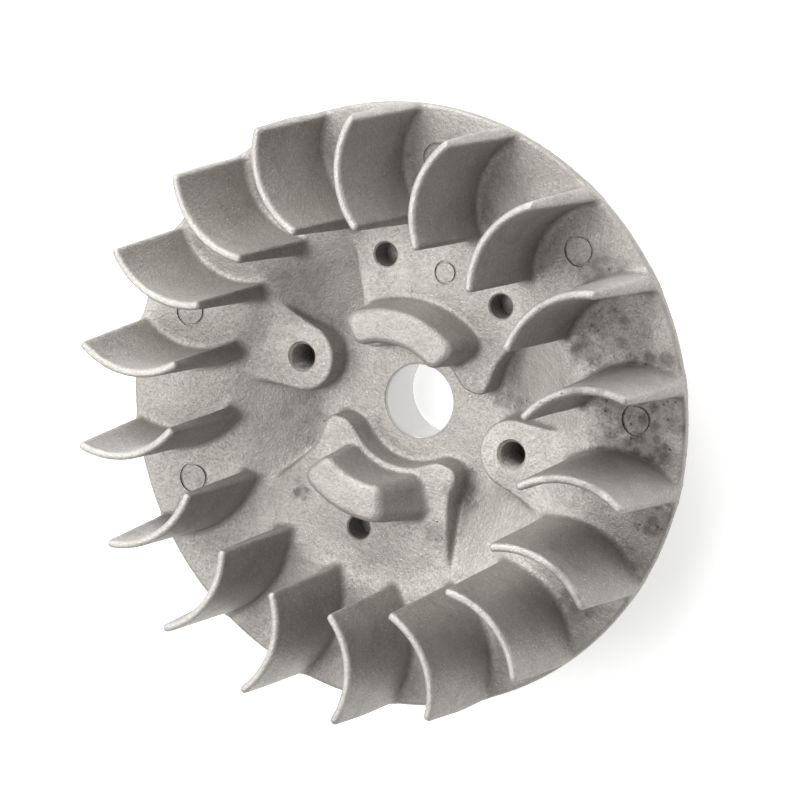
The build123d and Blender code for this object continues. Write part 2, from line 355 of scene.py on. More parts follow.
def lug_field(inner, outer, start, end, ramp):
    """A curved guard lug between two radii and two angles; ramp leans its end face back, in degrees."""
    def solid(x, y, z):
        share = (z - PAD_HEIGHT) / LUG_HEIGHT
        taper = LUG_DRAFT * share
        lean = np.degrees(2 * taper / (inner + outer))
        radius = np.hypot(x, y)
        middle = (start + end) / 2
        turn = np.degrees(np.arctan2(y, x)) - middle
        turn = (turn + 180) % 360 - 180 + middle
        first = start + lean
        last = end - lean - ramp * share
        mean = (inner + outer) / 2
        along = np.radians(turn - (first + last) / 2) * mean
        half = np.radians(last - first) / 2 * mean
        plan = rounded_box(along, radius - mean, half, (outer - inner) / 2 - taper, LUG_CORNER)
        return extruded(plan, z, PAD_HEIGHT - ROOT, PAD_HEIGHT + LUG_HEIGHT, LUG_EDGE)
    return solid


def drum_field(x, y, z):
    """Hub, posts, ribs, wall and insert housings behind the web."""
    radius = np.hypot(x, y)
    hub = extruded(radius - HUB_RADIUS, z, 0, FLOOR_HEIGHT - 1, DRUM_EDGE)
    wall = np.maximum(radius - DRUM_RADIUS, DRUM_RADIUS - DRUM_WALL - radius)
    wall = extruded(wall, z, 0, RIM_HEIGHT, DRUM_EDGE)
    block = np.maximum(np.abs(x) - HOUSING_HALF_WIDTH, HOUSING_INNER - np.abs(y))
    block = softened(np.maximum(block, radius - DRUM_RADIUS), DRUM_EDGE)
    block = extruded(block, z, 0, RIM_HEIGHT, DRUM_EDGE)
    posts = np.hypot(np.abs(x) - BOSS_OFFSET, y) - POST_RADIUS
    posts = extruded(posts, z, POST_BOTTOM, RIM_HEIGHT, POST_EDGE)
    ribs = np.maximum(np.abs(y) - RIB_THICKNESS / 2, radius - DRUM_RADIUS + DRUM_WALL / 2)
    ribs = extruded(ribs, z, RIB_BOTTOM, RIM_HEIGHT, DRUM_EDGE)
    solid = smooth_union(hub, ribs, DRUM_FILLET)
    solid = smooth_union(solid, posts, DRUM_FILLET)
    solid = smooth_union(solid, wall, DRUM_FILLET)
    solid = smooth_union(solid, block, HOUSING_FILLET)
    envelope = extruded(radius - DRUM_RADIUS, z, 0, 2 * RIM_HEIGHT, DRUM_EDGE)
    return np.maximum(np.maximum(solid, envelope), z - web_top(radius) + WEB_THICKNESS / 2)


def blade_arc():
    """Centre, radius and end angles of a blade's centreline, with its tip on +X."""
    tip = np.array([BLADE_TIP_RADIUS, 0.0])
    lag = math.radians(-BLADE_ROOT_LAG)
    root = BLADE_ROOT_RADIUS * np.array([math.cos(lag), math.sin(lag)])
    chord = tip - root
    length = np.hypot(*chord)
    bend = length**2 / (8 * BLADE_CAMBER) + BLADE_CAMBER / 2
    inwards = np.array([chord[1], -chord[0]]) / length
    centre = (tip + root) / 2 + inwards * (bend - BLADE_CAMBER)
    ends = [math.atan2(*(point - centre)[::-1]) for point in (tip, root)]
    return centre, bend, ends[0], ends[1]


def blade_field(angle):
    """A curved fan blade that grows thicker and wider towards its foot, with its tip at an angle."""
    centre, bend, tip_turn, root_turn = blade_arc()
    turn = math.radians(angle)

    def solid(x, y, z):
        across = x * math.cos(turn) + y * math.sin(turn) - centre[0]
        along = -x * math.sin(turn) + y * math.cos(turn) - centre[1]
        share = (BLADE_TOP - z) / (BLADE_TOP - FLOOR_HEIGHT)
        thickness = BLADE_TOP_THICKNESS + (BLADE_FOOT_THICKNESS - BLADE_TOP_THICKNESS) * share
        first = tip_turn - BLADE_TIP_DRAFT * share / bend
        last = root_turn + BLADE_ROOT_DRAFT * share / bend
        swing = (np.arctan2(along, across) - (first + last) / 2) * bend
        offset = np.hypot(across, along) - bend
        plan = rounded_box(swing, offset, (last - first) / 2 * bend, thickness / 2, BLADE_EDGE)
        plan = smooth_meet(plan, np.hypot(x, y) - DISC_RADIUS, BLADE_EDGE)
        blade = extruded(plan, z, FLOOR_HEIGHT, BLADE_TOP, BLADE_EDGE)
        return above_web(x, y, z, blade, BLADE_ROOT)
    return solid


def blade_box(angle):
    """Lowest and highest corner of one blade's surroundings."""
    room = 1.0
    swing = 9  # degrees to each side of the tip that hold the whole blade
    ends = []
    for radius in (BLADE_ROOT_RADIUS - room, DISC_RADIUS):
        for side in (-1, 1):
            place = math.radians(angle + side * swing)
            ends.append((radius * math.cos(place), radius * math.sin(place)))
    xs, ys = zip(*ends)
    low = (min(xs) - room, min(ys) - room, FLOOR_HEIGHT)
    high = (max(xs) + room, max(ys) + room, BLADE_TOP)
    return low, high


def casting_field():
    """The whole casting before its crisp cuts, held inside the CAD model's cylinder."""
    whole = (-DISC_RADIUS, -DISC_RADIUS, 0), (DISC_RADIUS, DISC_RADIUS, BLADE_TOP)
    field = Field(*whole)
    under = FLOOR_HEIGHT - 3
    drum = DRUM_RADIUS
    field.join(disc_field, (*whole[0][:2], under), (*whole[1][:2], RIM_HEIGHT), NO_FILLET)
    field.join(drum_field, (-drum, -drum, 0), (drum, drum, RIM_HEIGHT), DRUM_FILLET)
    reach = PAD_OUTER_RADIUS
    front = (-reach, -reach, under), (reach, reach, PAD_HEIGHT)
    for side in (-1, 1):
        field.join(pad_field(side), *front, PAD_FILLET)
        field.join(boss_field(side), *front, PAD_FILLET)
    on_pads = (-reach, -reach, PAD_HEIGHT - ROOT), (reach, reach, PAD_HEIGHT + LUG_HEIGHT)
    for lug in (MAGNET_LUG, WEIGHT_LUG):
        field.join(lug_field(**lug), *on_pads, LUG_FILLET)
    for number in range(BLADES):
        angle = BLADE_FIRST_ANGLE + number * 360 / BLADES
        field.join(blade_field(angle), *blade_box(angle), BLADE_FILLET)
    cuts, x, y, z = field.region(*whole)
    within = np.maximum(np.hypot(x, y) - DISC_RADIUS, np.maximum(-z, z - BLADE_TOP))
    field.values[cuts] = np.maximum(field.values[cuts], within)
    return field


# ======== meshes ========


def mesh_from(name, points, faces):
    """An object from a point array and a face array with one face size."""
    mesh = bpy.data.meshes.new(name)
    count, sides = faces.shape
    mesh.vertices.add(len(points))
    mesh.vertices.foreach_set("co", np.asarray(points, np.float32).ravel())
    mesh.loops.add(count * sides)
    mesh.loops.foreach_set("vertex_index", faces.astype(np.int32).ravel())
    mesh.polygons.add(count)
    mesh.polygons.foreach_set("loop_start", np.arange(0, count * sides, sides, dtype=np.int32))
    mesh.update(calc_edges=True)
    piece = bpy.data.objects.new(name, mesh)
    bpy.context.scene.collection.objects.link(piece)
    return piece


def apply_modifiers(piece):
    """Turn a piece's modifiers into its mesh."""
    graph = bpy.context.evaluated_depsgraph_get()
    mesh = bpy.data.meshes.new_from_object(piece.evaluated_get(graph))
    old = piece.data
    piece.modifiers.clear()
    piece.data = mesh
    bpy.data.meshes.remove(old)


def combine(piece, tool, operation):
    """Boolean of a piece with a closed tool mesh, which is then removed."""
    cut = piece.modifiers.new("cut", "BOOLEAN")
    cut.operation = operation
    cut.solver = "MANIFOLD"
    cut.object = tool
    apply_modifiers(piece)
    bpy.data.objects.remove(tool)


def tube_mesh(rings):
    """Points and faces of a closed tube through stacked rings with equally many points, lowest first."""
    rings = np.asarray(rings, float)
    count, sides, _ = rings.shape
    points = [tuple(point) for ring in rings for point in ring]
    faces = [tuple(range(sides))[::-1], tuple((count - 1) * sides + i for i in range(sides))]
    for row in range(count - 1):
        base = row * sides
        for i in range(sides):
            after = (i + 1) % sides
            faces.append((base + i, base + after, base + sides + after, base + sides + i))
    return points, faces


def ring_points(centre, radii, height, sides):
    """A level ring of points; radii is one radius or one for each point."""
    turns = np.arange(sides) * 2 * math.pi / sides
    radii = np.broadcast_to(radii, turns.shape)
    x = centre[0] + radii * np.cos(turns)
    y = centre[1] + radii * np.sin(turns)
    return np.stack([x, y, np.full(sides, height)], axis=1)


def prism(points, bottom, top):
    """Two rings that extrude a plan between two heights."""
    flat = np.asarray(points, float)
    if polygon_area(flat) < 0:
        flat = flat[::-1]
    return [np.column_stack([flat, np.full(len(flat), height)]) for height in (bottom, top)]


def polygon_area(flat):
    """Signed area, positive for points that run counterclockwise."""
    after = np.roll(flat, -1, axis=0)
    return 0.5 * np.sum(flat[:, 0] * after[:, 1] - flat[:, 1] * after[:, 0])


def tool_from(name, solids):
    """One object that holds several closed solids, in metres."""
    points = []
    faces = []
    for solid_points, solid_faces in solids:
        base = len(points)
        points += [tuple(MM * value for value in point) for point in solid_points]
        faces += [tuple(base + index for index in face) for face in solid_faces]
    mesh = bpy.data.meshes.new(name)
    mesh.from_pydata(points, [], faces)
    mesh.update()
    piece = bpy.data.objects.new(name, mesh)
    bpy.context.scene.collection.objects.link(piece)
    return piece


# ======== cut details ========


def lathe(profile, centre=(0, 0), sides=96):
    """A closed solid of revolution from (radius, height) pairs, lowest first."""
    return tube_mesh([ring_points(centre, radius, height, sides) for radius, height in profile])


def thread_tool(side):
    """The space of a threaded pawl hole: a helical groove round a plain bore, with a countersunk mouth."""
    centre = (side * BOSS_OFFSET, 0)
    step = THREAD_PITCH / THREAD_RINGS_PER_TURN
    bottom = PAD_HEIGHT - PAWL_THREAD_DEPTH
    tip_radius = 0.4
    above = 0.5
    turns = np.arange(THREAD_SIDES) / THREAD_SIDES
    rings = [ring_points(centre, tip_radius, bottom - DRILL_TIP, THREAD_SIDES)]
    for height in np.arange(bottom, PAD_HEIGHT + 0.001, step):
        ridge = np.abs(2 * ((height / THREAD_PITCH - turns) % 1.0) - 1)
        flat_root_and_crest = np.clip(1.25 * ridge - 0.2, 0, 1)
        run_in = np.clip((height - bottom) / (2 * THREAD_PITCH), 0, 1)
        groove = PAWL_THREAD_RADIUS + THREAD_DEPTH * run_in * flat_root_and_crest * 0.8
        mouth = PAWL_MOUTH_RADIUS - (PAD_HEIGHT - height)
        rings.append(ring_points(centre, np.maximum(groove, mouth), height, THREAD_SIDES))
    for lift in (above, 2 * above):
        rings.append(ring_points(centre, PAWL_MOUTH_RADIUS + above, PAD_HEIGHT + lift, THREAD_SIDES))
    return tube_mesh(rings)


def mark_tool(x, y, radius, groove):
    """The ring-shaped groove that an ejector pin leaves, lying along the surface."""
    reach = math.hypot(x, y)
    on_pad = reach < PAD_OUTER_RADIUS
    height = PAD_HEIGHT if on_pad else float(web_top(np.array([reach]))[0])
    slope = 0 if on_pad else (RIM_HEIGHT - SHOULDER_HEIGHT) / (DISC_RADIUS - SHOULDER_RADIUS)
    sides = 64
    above = 1.0
    inner = radius - groove
    turns = np.arange(sides) * 2 * math.pi / sides
    points = []
    for ring, lift in ((radius, -MARK_DEPTH), (radius, above), (inner, above), (inner, -MARK_DEPTH)):
        for turn in turns:
            px = x + ring * math.cos(turn)
            py = y + ring * math.sin(turn)
            outwards = ((px - x) * x + (py - y) * y) / reach
            points.append((px, py, height + slope * outwards + lift))
    faces = []
    for ring in range(4):
        base, after = ring * sides, (ring + 1) % 4 * sides
        for i in range(sides):
            j = (i + 1) % sides
            faces.append((base + i, base + j, after + j, after + i))
    return points, faces


def insert_outline():
    """Plan of the two pole shoes with the magnet between them, open through the drum's wall."""
    leg, end = POLE_LEG
    toe = end + POLE_TOE_WIDTH
    out = DRUM_RADIUS + 2
    half = [
        (leg, POLE_INNER),
        (end, POLE_INNER),
        (end, POLE_TOE_START),
        (toe, POLE_TOE_START + POLE_TOE_WIDTH),
        (toe, out),
        (leg, out),
        (leg, MAGNET_SPAN[1]),
    ]
    right = [(INSERT_SHIFT + x, y) for x, y in [(leg, MAGNET_SPAN[0])] + half]
    left = [(INSERT_SHIFT - x, y) for x, y in (half[::-1] + [(leg, MAGNET_SPAN[0])])]
    return right + left


def weight_outline():
    """Plan of the counterweight, an arc-shaped block centred on -Y."""
    sides = 24
    turns = np.radians(np.linspace(270 - WEIGHT_HALF_ANGLE, 270 + WEIGHT_HALF_ANGLE, sides))
    inner, outer = WEIGHT_SPAN
    far = [(INSERT_SHIFT + outer * math.cos(t), outer * math.sin(t)) for t in turns]
    near = [(INSERT_SHIFT + inner * math.cos(t), inner * math.sin(t)) for t in turns[::-1]]
    return far + near


def insert_rooms():
    """The room of the pole shoes with the magnet, and of the counterweight."""
    outlines = (insert_outline(), weight_outline())
    return [tube_mesh(prism(outline, STACK_BOTTOM, STACK_TOP)) for outline in outlines]


def rivet_places(rows):
    """Centres in the plan, in the middle of each pole shoe's leg."""
    middle = (POLE_LEG[0] + POLE_LEG[1]) / 2
    return [(INSERT_SHIFT + side * middle, row) for side in (-1, 1) for row in rows]


def rivet_head_rooms():
    low = STACK_BOTTOM - RIVET_HEAD_HEIGHT
    high = STACK_TOP + RIVET_HEAD_HEIGHT
    profile = [(RIVET_HEAD_RADIUS, low), (RIVET_HEAD_RADIUS, high)]
    return [lathe(profile, place, 48) for place in rivet_places(RIVET_ROWS)]


def bore_tool():
    """The tapered bore with a chamfer at each end, and room beyond both faces."""
    behind = 1.0
    ahead = 1.15
    return lathe([
        (BORE_BACK_RADIUS + BACK_CHAMFER + behind, -behind),
        (BORE_BACK_RADIUS + BACK_CHAMFER, 0.0),
        (BORE_BACK_RADIUS - BORE_TAPER * BACK_CHAMFER, BACK_CHAMFER),
        (BORE_FRONT_RADIUS + BORE_TAPER * BORE_CHAMFER, FLOOR_HEIGHT - BORE_CHAMFER),
        (BORE_FRONT_RADIUS + BORE_CHAMFER, FLOOR_HEIGHT),
        (BORE_FRONT_RADIUS + BORE_CHAMFER + ahead, FLOOR_HEIGHT + ahead),
    ], sides=128)


def locating_hole_tool(x, y, bottom):
    """A cast hole that narrows downwards and has a small chamfer at its mouth."""
    radius = LOCATING_HOLE_RADIUS
    wider, higher = HOLE_CLEAR
    return lathe([
        (radius - HOLE_DRAFT, bottom),
        (radius, PAD_HEIGHT - HOLE_CHAMFER),
        (radius + HOLE_CHAMFER, PAD_HEIGHT),
        (radius + wider, PAD_HEIGHT + higher),
    ], (x, y), 64)


def front_cuts():
    """Bore, threads, locating holes and ejector marks."""
    tools = [bore_tool(), thread_tool(-1), thread_tool(1)]
    for x, y in rivet_places(RIVET_ROWS[:1]):
        tools.append(locating_hole_tool(x, y, STACK_TOP))
    tools.append(locating_hole_tool(INSERT_SHIFT, -WEIGHT_HOLE_OFFSET, STACK_TOP - 0.2))
    for number in range(MARKS):
        turn = math.radians(MARK_FIRST_ANGLE + number * 360 / MARKS)
        x, y = MARK_RING * math.cos(turn), MARK_RING * math.sin(turn)
        tools.append(mark_tool(x, y, MARK_RADIUS, MARK_GROOVE))
    tools.append(mark_tool(*PAD_MARK, PAD_MARK_GROOVE))
    return tools


def key_solid():
    """The drive key in the bore, with its two inner edges chamfered."""
    half = KEY["width"] / 2
    inner = KEY["reach"]
    outer = HUB_RADIUS - 1
    shoulder = inner + KEY_CHAMFER
    nose = half - KEY_CHAMFER
    outline = [
        (shoulder, -half),
        (outer, -half),
        (outer, half),
        (shoulder, half),
        (inner, nose),
        (inner, -nose),
    ]
    return tube_mesh(prism(outline, KEY_LIFT, KEY["length"]))


def cut_details(casting):
    """Everything machined or moulded crisply: the inserts' room, bore, key, threads, holes and marks."""
    combine(casting, tool_from("room", insert_rooms()), "DIFFERENCE")
    combine(casting, tool_from("heads", rivet_head_rooms()), "DIFFERENCE")
    combine(casting, tool_from("cuts", front_cuts()), "DIFFERENCE")
    combine(casting, tool_from("key", [key_solid()]), "UNION")


def make_casting():
    """One closed mesh of the whole casting, from the field's surface and the crisp cuts."""
    field = casting_field()
    grid = openvdb.FloatGrid(BAND)
    grid.copyFromArray(np.clip(field.values, -BAND, BAND).astype(np.float32))
    grid.transform = openvdb.createLinearTransform(voxelSize=VOXEL)
    points, quads = grid.convertToQuads(isovalue=0)
    points = points + field.low
    casting = mesh_from("rotor_casting", points * MM, quads)
    reduce = casting.modifiers.new("reduce", "DECIMATE")
    reduce.ratio = CASTING_TRIANGLES / (2 * len(quads))
    apply_modifiers(casting)
    trim(casting)
    cut_details(casting)
    trim(casting)
    return casting


def trim(casting):
    """Hold every point inside the CAD model's outer cylinder and its two end planes."""
    mesh = casting.data
    points = np.empty(len(mesh.vertices) * 3, np.float32)
    mesh.vertices.foreach_get("co", points)
    points = points.reshape(-1, 3)
    radius = np.hypot(points[:, 0], points[:, 1])
    limit = DISC_RADIUS * MM - 1e-6
    scale = np.minimum(1, limit / np.maximum(radius, 1e-9))
    points[:, :2] *= scale[:, None]
    points[:, 2] = np.clip(points[:, 2], cad_box[0][2], cad_box[1][2])
    mesh.vertices.foreach_set("co", points.ravel())
    mesh.update()


# ======== materials ========


class Shader:
    """A node material under construction."""

    def __init__(self, name, **settings):
        self.material = bpy.data.materials.new(name)
        self.material.use_nodes = True
        self.tree = self.material.node_tree
        self.surface = self.tree.nodes["Principled BSDF"]
        for socket, value in settings.items():
            self.surface.inputs[socket.replace("_", " ")].default_value = value
        self.place = self.tree.nodes.new("ShaderNodeTexCoord").outputs["Object"]

    def link(self, source, target):
        self.tree.links.new(source, target)

    def feed(self, socket, value):
        """Set a socket from another socket or from a plain value."""
        if isinstance(value, bpy.types.NodeSocket):
            self.link(value, socket)
        else:
            socket.default_value = value

    def noise(self, per_metre, detail=3.0, rough=0.55, distort=0.0):
        node = self.tree.nodes.new("ShaderNodeTexNoise")
        settings = {"Scale": per_metre, "Detail": detail, "Roughness": rough, "Distortion": distort}
        for socket, value in settings.items():
            node.inputs[socket].default_value = value
        self.link(self.place, node.inputs["Vector"])
        return node.outputs["Fac"]

    def cells(self, per_metre):
        """Distance to the nearest of many scattered points."""
        node = self.tree.nodes.new("ShaderNodeTexVoronoi")
        node.inputs["Scale"].default_value = per_metre
        self.link(self.place, node.inputs["Vector"])
        return node.outputs["Distance"]

    def math(self, operation, *values):
        node = self.tree.nodes.new("ShaderNodeMath")
        node.operation = operation
        for socket, value in zip(node.inputs, values):
            self.feed(socket, value)
        return node.outputs[0]

    def times(self, *values):
        """Product of two or more values."""
        product = values[0]
        for value in values[1:]:
            product = self.math("MULTIPLY", product, value)
        return product

    def distance(self, x, y):
        """Length of a flat vector."""
        return self.math("SQRT", self.math("ADD", self.times(x, x), self.times(y, y)))

    def fade(self, value, start, end, low=0.0, high=1.0):
        """A smooth step of a value between start and end."""
        node = self.tree.nodes.new("ShaderNodeMapRange")
        node.interpolation_type = "SMOOTHSTEP"
        settings = {"Value": value, "From Min": start, "From Max": end, "To Min": low, "To Max": high}
        for socket, amount in settings.items():
            self.feed(node.inputs[socket], amount)
        return node.outputs["Result"]

    def mix(self, share, first, second):
        """Colour mix; colours are triples or sockets."""
        node = self.tree.nodes.new("ShaderNodeMix")
        node.data_type = "RGBA"
        self.feed(node.inputs["Factor"], share)
        for socket, value in zip(("A", "B"), (first, second)):
            target = [s for s in node.inputs if s.name == socket and s.type == "RGBA"][0]
            self.feed(target, value if isinstance(value, bpy.types.NodeSocket) else (*value, 1.0))
        return [s for s in node.outputs if s.type == "RGBA"][0]

    def parts(self, vector):
        """X, Y and Z of a vector."""
        node = self.tree.nodes.new("ShaderNodeSeparateXYZ")
        self.link(vector, node.inputs[0])
        return node.outputs

    def bump(self, height, distance, strength=1.0, under=None):
        node = self.tree.nodes.new("ShaderNodeBump")
        node.inputs["Distance"].default_value = distance
        node.inputs["Strength"].default_value = strength
        self.link(height, node.inputs["Height"])
        if under:
            self.link(under, node.inputs["Normal"])
        return node.outputs["Normal"]

    def finish(self, colour, roughness, normal):
        self.link(colour, self.surface.inputs["Base Color"])
        self.link(roughness, self.surface.inputs["Roughness"])
        self.link(normal, self.surface.inputs["Normal"])
        return self.material


# ---- colours ----
ALUMINIUM = (0.43, 0.413, 0.382)
ALUMINIUM_DARKER = (0.325, 0.31, 0.285)
ALUMINIUM_LIGHT = (0.56, 0.545, 0.51)
# Dark grey: painted shade on upright faces, and dark grain and smears.
ALUMINIUM_SHADE_AND_GRIME = (0.20, 0.188, 0.170)
# Painted highlight along the blades' tops.
ALUMINIUM_HIGHLIGHT = (0.66, 0.645, 0.615)
# The bore's machined metal, which is lighter, made lighter still as painted light inside the bore.
ALUMINIUM_BORED_AND_LIT = (0.82, 0.815, 0.81)
ALUMINIUM_TURNED = (0.36, 0.355, 0.345)
GLINT = (0.86, 0.85, 0.83)
STAIN_AND_SHADE = (0.125, 0.115, 0.105)
PIT = (0.07, 0.065, 0.06)
POLE_BRIGHT = (0.40, 0.39, 0.38)
POLE_DULL = (0.24, 0.225, 0.21)
RUST = (0.20, 0.10, 0.05)
SEAM = (0.03, 0.028, 0.026)
# The rivets are kept dark as painted shade, since they are seen only down the locating holes.
RIVET = (0.22, 0.21, 0.20)
RIVET_DARK = (0.12, 0.115, 0.11)
WEIGHT = (0.34, 0.33, 0.32)
WEIGHT_DARK = (0.22, 0.21, 0.20)
MAGNET = (0.10, 0.10, 0.105)
MAGNET_DARK = (0.05, 0.05, 0.053)
FLOOR = (0.93, 0.93, 0.93)
FLOOR_DARK = (0.90, 0.90, 0.90)

# ---- where the casting's surfaces change ----
BORED_RADIUS = 7.8
TURNED_TOP = 17.0  # the drum's outside is turned up to here
TURNING_PITCH = 0.32
STAINED_FROM = (10.0, 12.0)  # heights between which the stains fade in
LUG_REACH = 23.0  # radius that holds both lugs

# Dark patches on the front face: x, y and radius in millimetres, and strength. Each darkens its patch all
# over, which is painted shade, mostly towards +X, and holds stain spots and pits.
BLOTCHES = [
    (38.0, 19.0, 8.5, 1.0),
    (44.5, 20.0, 6.0, 0.9),
    (33.0, 26.0, 5.0, 0.7),
    (42.0, 11.0, 5.0, 1.0),
    (36.5, 9.5, 4.0, 0.9),
    (27.0, 21.5, 3.2, 1.0),
    (29.5, 26.5, 3.5, 0.7),
    (25.5, 34.5, 4.5, 0.7),
    (47.0, 1.5, 3.5, 0.9),
    (43.5, -9.0, 4.5, 0.8),
    (40.5, -17.0, 4.0, 0.6),
    (16.0, 7.0, 3.6, 0.7),
    (13.5, -10.0, 2.6, 0.8),
    (12.0, -17.0, 2.2, 0.6),
    (-18.0, -11.0, 5.5, 0.45),
    (-26.0, 13.0, 6.5, 0.4),
    (-12.5, -21.5, 1.7, 0.9),
    (-5.0, -13.0, 2.0, 0.4),
]


def blotch_mask(shader, x, y):
    """Where the blotches lie, each with a ragged edge."""
    ragged = shader.times(shader.math("SUBTRACT", shader.noise(330, 4.0, 0.65), 0.5), 9.0 * MM)
    total = None
    for px, py, radius, strength in BLOTCHES:
        away = shader.distance(shader.math("SUBTRACT", x, px * MM), shader.math("SUBTRACT", y, py * MM))
        away = shader.math("ADD", away, ragged)
        patch = shader.fade(away, 1.25 * radius * MM, 0.5 * radius * MM, 0.0, strength)
        total = shader.math("MAXIMUM", total, patch) if total else patch
    return total


def stain_masks(shader, x, y, z, up):
    """Dark patches with stain spots and small pits, on the faces of the web's front side that look
    forwards. The patches' broad darkening is painted shade.
    """
    low, high = STAINED_FROM
    forwards = shader.times(shader.fade(up, 0.25, 0.80), shader.fade(z, low * MM, high * MM))
    area = shader.times(blotch_mask(shader, x, y), forwards)
    # Painted shade: each patch darkens by at least half its strength, with stain spots on top.
    stains_and_shade = shader.times(area, shader.fade(shader.cells(420), 0.62, 0.25, 0.5, 1.0))
    pits = shader.times(shader.fade(area, 0.2, 0.8), shader.fade(shader.cells(620), 0.16, 0.08))
    return stains_and_shade, pits


def machined_masks(shader, reach, z, upright):
    """The bore with the narrow ring round its back end, and the drum's turned outside."""
    bored = shader.times(
        shader.fade(reach, (BORED_RADIUS + 0.1) * MM, (BORED_RADIUS - 0.1) * MM),
        shader.fade(z, (FLOOR_HEIGHT - 0.02) * MM, (FLOOR_HEIGHT - 0.1) * MM),
    )
    turned = shader.times(
        shader.fade(reach, (DRUM_RADIUS - 0.25) * MM, (DRUM_RADIUS - 0.1) * MM),
        shader.fade(reach, (DRUM_RADIUS + 0.4) * MM, (DRUM_RADIUS + 0.2) * MM),
        upright,
        shader.fade(z, (TURNED_TOP + 0.2) * MM, (TURNED_TOP - 0.2) * MM),
    )
    return bored, turned


def top_masks(shader, reach, z, flow):
    """The lugs' tops, which are darker, and the blades' tops, which carry a painted highlight."""
    lug = PAD_HEIGHT + LUG_HEIGHT
    lug_tops = shader.times(
        shader.fade(z, (lug - 2.0) * MM, (lug - 0.5) * MM),
        shader.fade(reach, (LUG_REACH + 0.5) * MM, (LUG_REACH - 0.5) * MM),
    )
    ragged = shader.times(shader.math("SUBTRACT", flow, 0.5), 1.2 * MM)
    height = shader.math("ADD", z, ragged)
    # Painted highlight: a thin, ragged band along the blades' tops.
    blade_tops = shader.fade(height, (BLADE_TOP - 0.7) * MM, (BLADE_TOP - 0.1) * MM)
    return lug_tops, blade_tops


def cast_skin(shader, upright, grain, coarse, flow):
    """Colour of clean cast metal: clouds, flow lines, painted shade on upright flanks, grains and painted
    glints.
    """
    cloud = shader.noise(95, 4.0, 0.6, distort=0.4)
    # Painted glints: tiny bright specks put into the colour.
    glint = shader.fade(shader.noise(4200, 1.0, 0.5), 0.66, 0.74)
    colour = shader.mix(shader.fade(cloud, 0.38, 0.66, 0.0, 0.75), ALUMINIUM, ALUMINIUM_DARKER)
    colour = shader.mix(shader.fade(flow, 0.48, 0.72, 0.0, 0.25), colour, ALUMINIUM_LIGHT)
    # Painted shade: faces that stand upright, such as the blade flanks, are darkened.
    colour = shader.mix(shader.times(upright, 0.38), colour, ALUMINIUM_SHADE_AND_GRIME)
    colour = shader.mix(shader.fade(grain, 0.50, 0.30, 0.0, 0.26), colour, ALUMINIUM_SHADE_AND_GRIME)
    colour = shader.mix(shader.fade(coarse, 0.50, 0.72, 0.0, 0.16), colour, ALUMINIUM_LIGHT)
    return shader.mix(shader.times(glint, 0.60), colour, GLINT)


def cast_aluminium():
    """Sandy die-cast aluminium: fine grain, dark flow smears, dark patches that are partly painted shade,
    painted shade on the flanks, and a painted highlight along the blades' tops.
    """
    shader = Shader("cast_aluminium", Metallic=0.45)
    x, y, z = shader.parts(shader.place)
    reach = shader.distance(x, y)
    geometry = shader.tree.nodes.new("ShaderNodeNewGeometry")
    _, _, up = shader.parts(geometry.outputs["Normal"])
    upright = shader.fade(shader.math("ABSOLUTE", up), 0.25, 0.85, 1.0, 0.0)
    grain = shader.noise(2300, 2.0, 0.6)
    coarse = shader.noise(1100, 3.0, 0.6)
    flow = shader.noise(300, 4.0, 0.65, distort=0.8)
    smear = shader.fade(shader.noise(140, 4.0, 0.6, distort=1.2), 0.54, 0.72, 0.0, 0.35)
    stains_and_shade, pits = stain_masks(shader, x, y, z, up)
    lug_tops, blade_tops = top_masks(shader, reach, z, flow)
    bored, turned = machined_masks(shader, reach, z, upright)
    machined = shader.math("MAXIMUM", bored, turned)
    as_cast = shader.math("SUBTRACT", 1.0, machined)

    colour = cast_skin(shader, upright, grain, coarse, flow)
    # Dark patches: painted shade, mostly towards +X on the front face, with stain spots in them.
    colour = shader.mix(shader.times(stains_and_shade, 0.9), colour, STAIN_AND_SHADE)
    colour = shader.mix(shader.times(pits, 0.7), colour, PIT)
    colour = shader.mix(smear, colour, ALUMINIUM_SHADE_AND_GRIME)
    # The lugs' tops are made darker than the faces round them.
    colour = shader.mix(shader.times(lug_tops, 0.45), colour, ALUMINIUM_DARKER)
    # Painted highlight along the blades' tops.
    colour = shader.mix(shader.times(blade_tops, 0.22), colour, ALUMINIUM_HIGHLIGHT)
    # The machined bore: lighter metal, with painted light on top to brighten the hole.
    colour = shader.mix(bored, colour, ALUMINIUM_BORED_AND_LIT)
    colour = shader.mix(turned, colour, ALUMINIUM_TURNED)

    rough = shader.fade(grain, 0.3, 0.7, 0.62, 0.42)
    rough = shader.math("ADD", rough, shader.times(stains_and_shade, 0.12))
    rough = shader.math("ADD", shader.times(rough, as_cast), shader.times(machined, 0.27))

    sandy = shader.math("ADD", grain, shader.times(coarse, 1.1))
    sandy = shader.math("SUBTRACT", sandy, shader.times(pits, 1.2))
    lines = shader.math("SINE", shader.times(z, 2 * math.pi / (TURNING_PITCH * MM)))
    height = shader.math("ADD", shader.times(sandy, as_cast), shader.times(lines, machined, 0.10))
    low = shader.bump(shader.noise(160, 3.0, 0.5), 0.25 * MM, 0.4)
    return shader.finish(colour, rough, shader.bump(height, 0.12 * MM, 0.9, under=low))


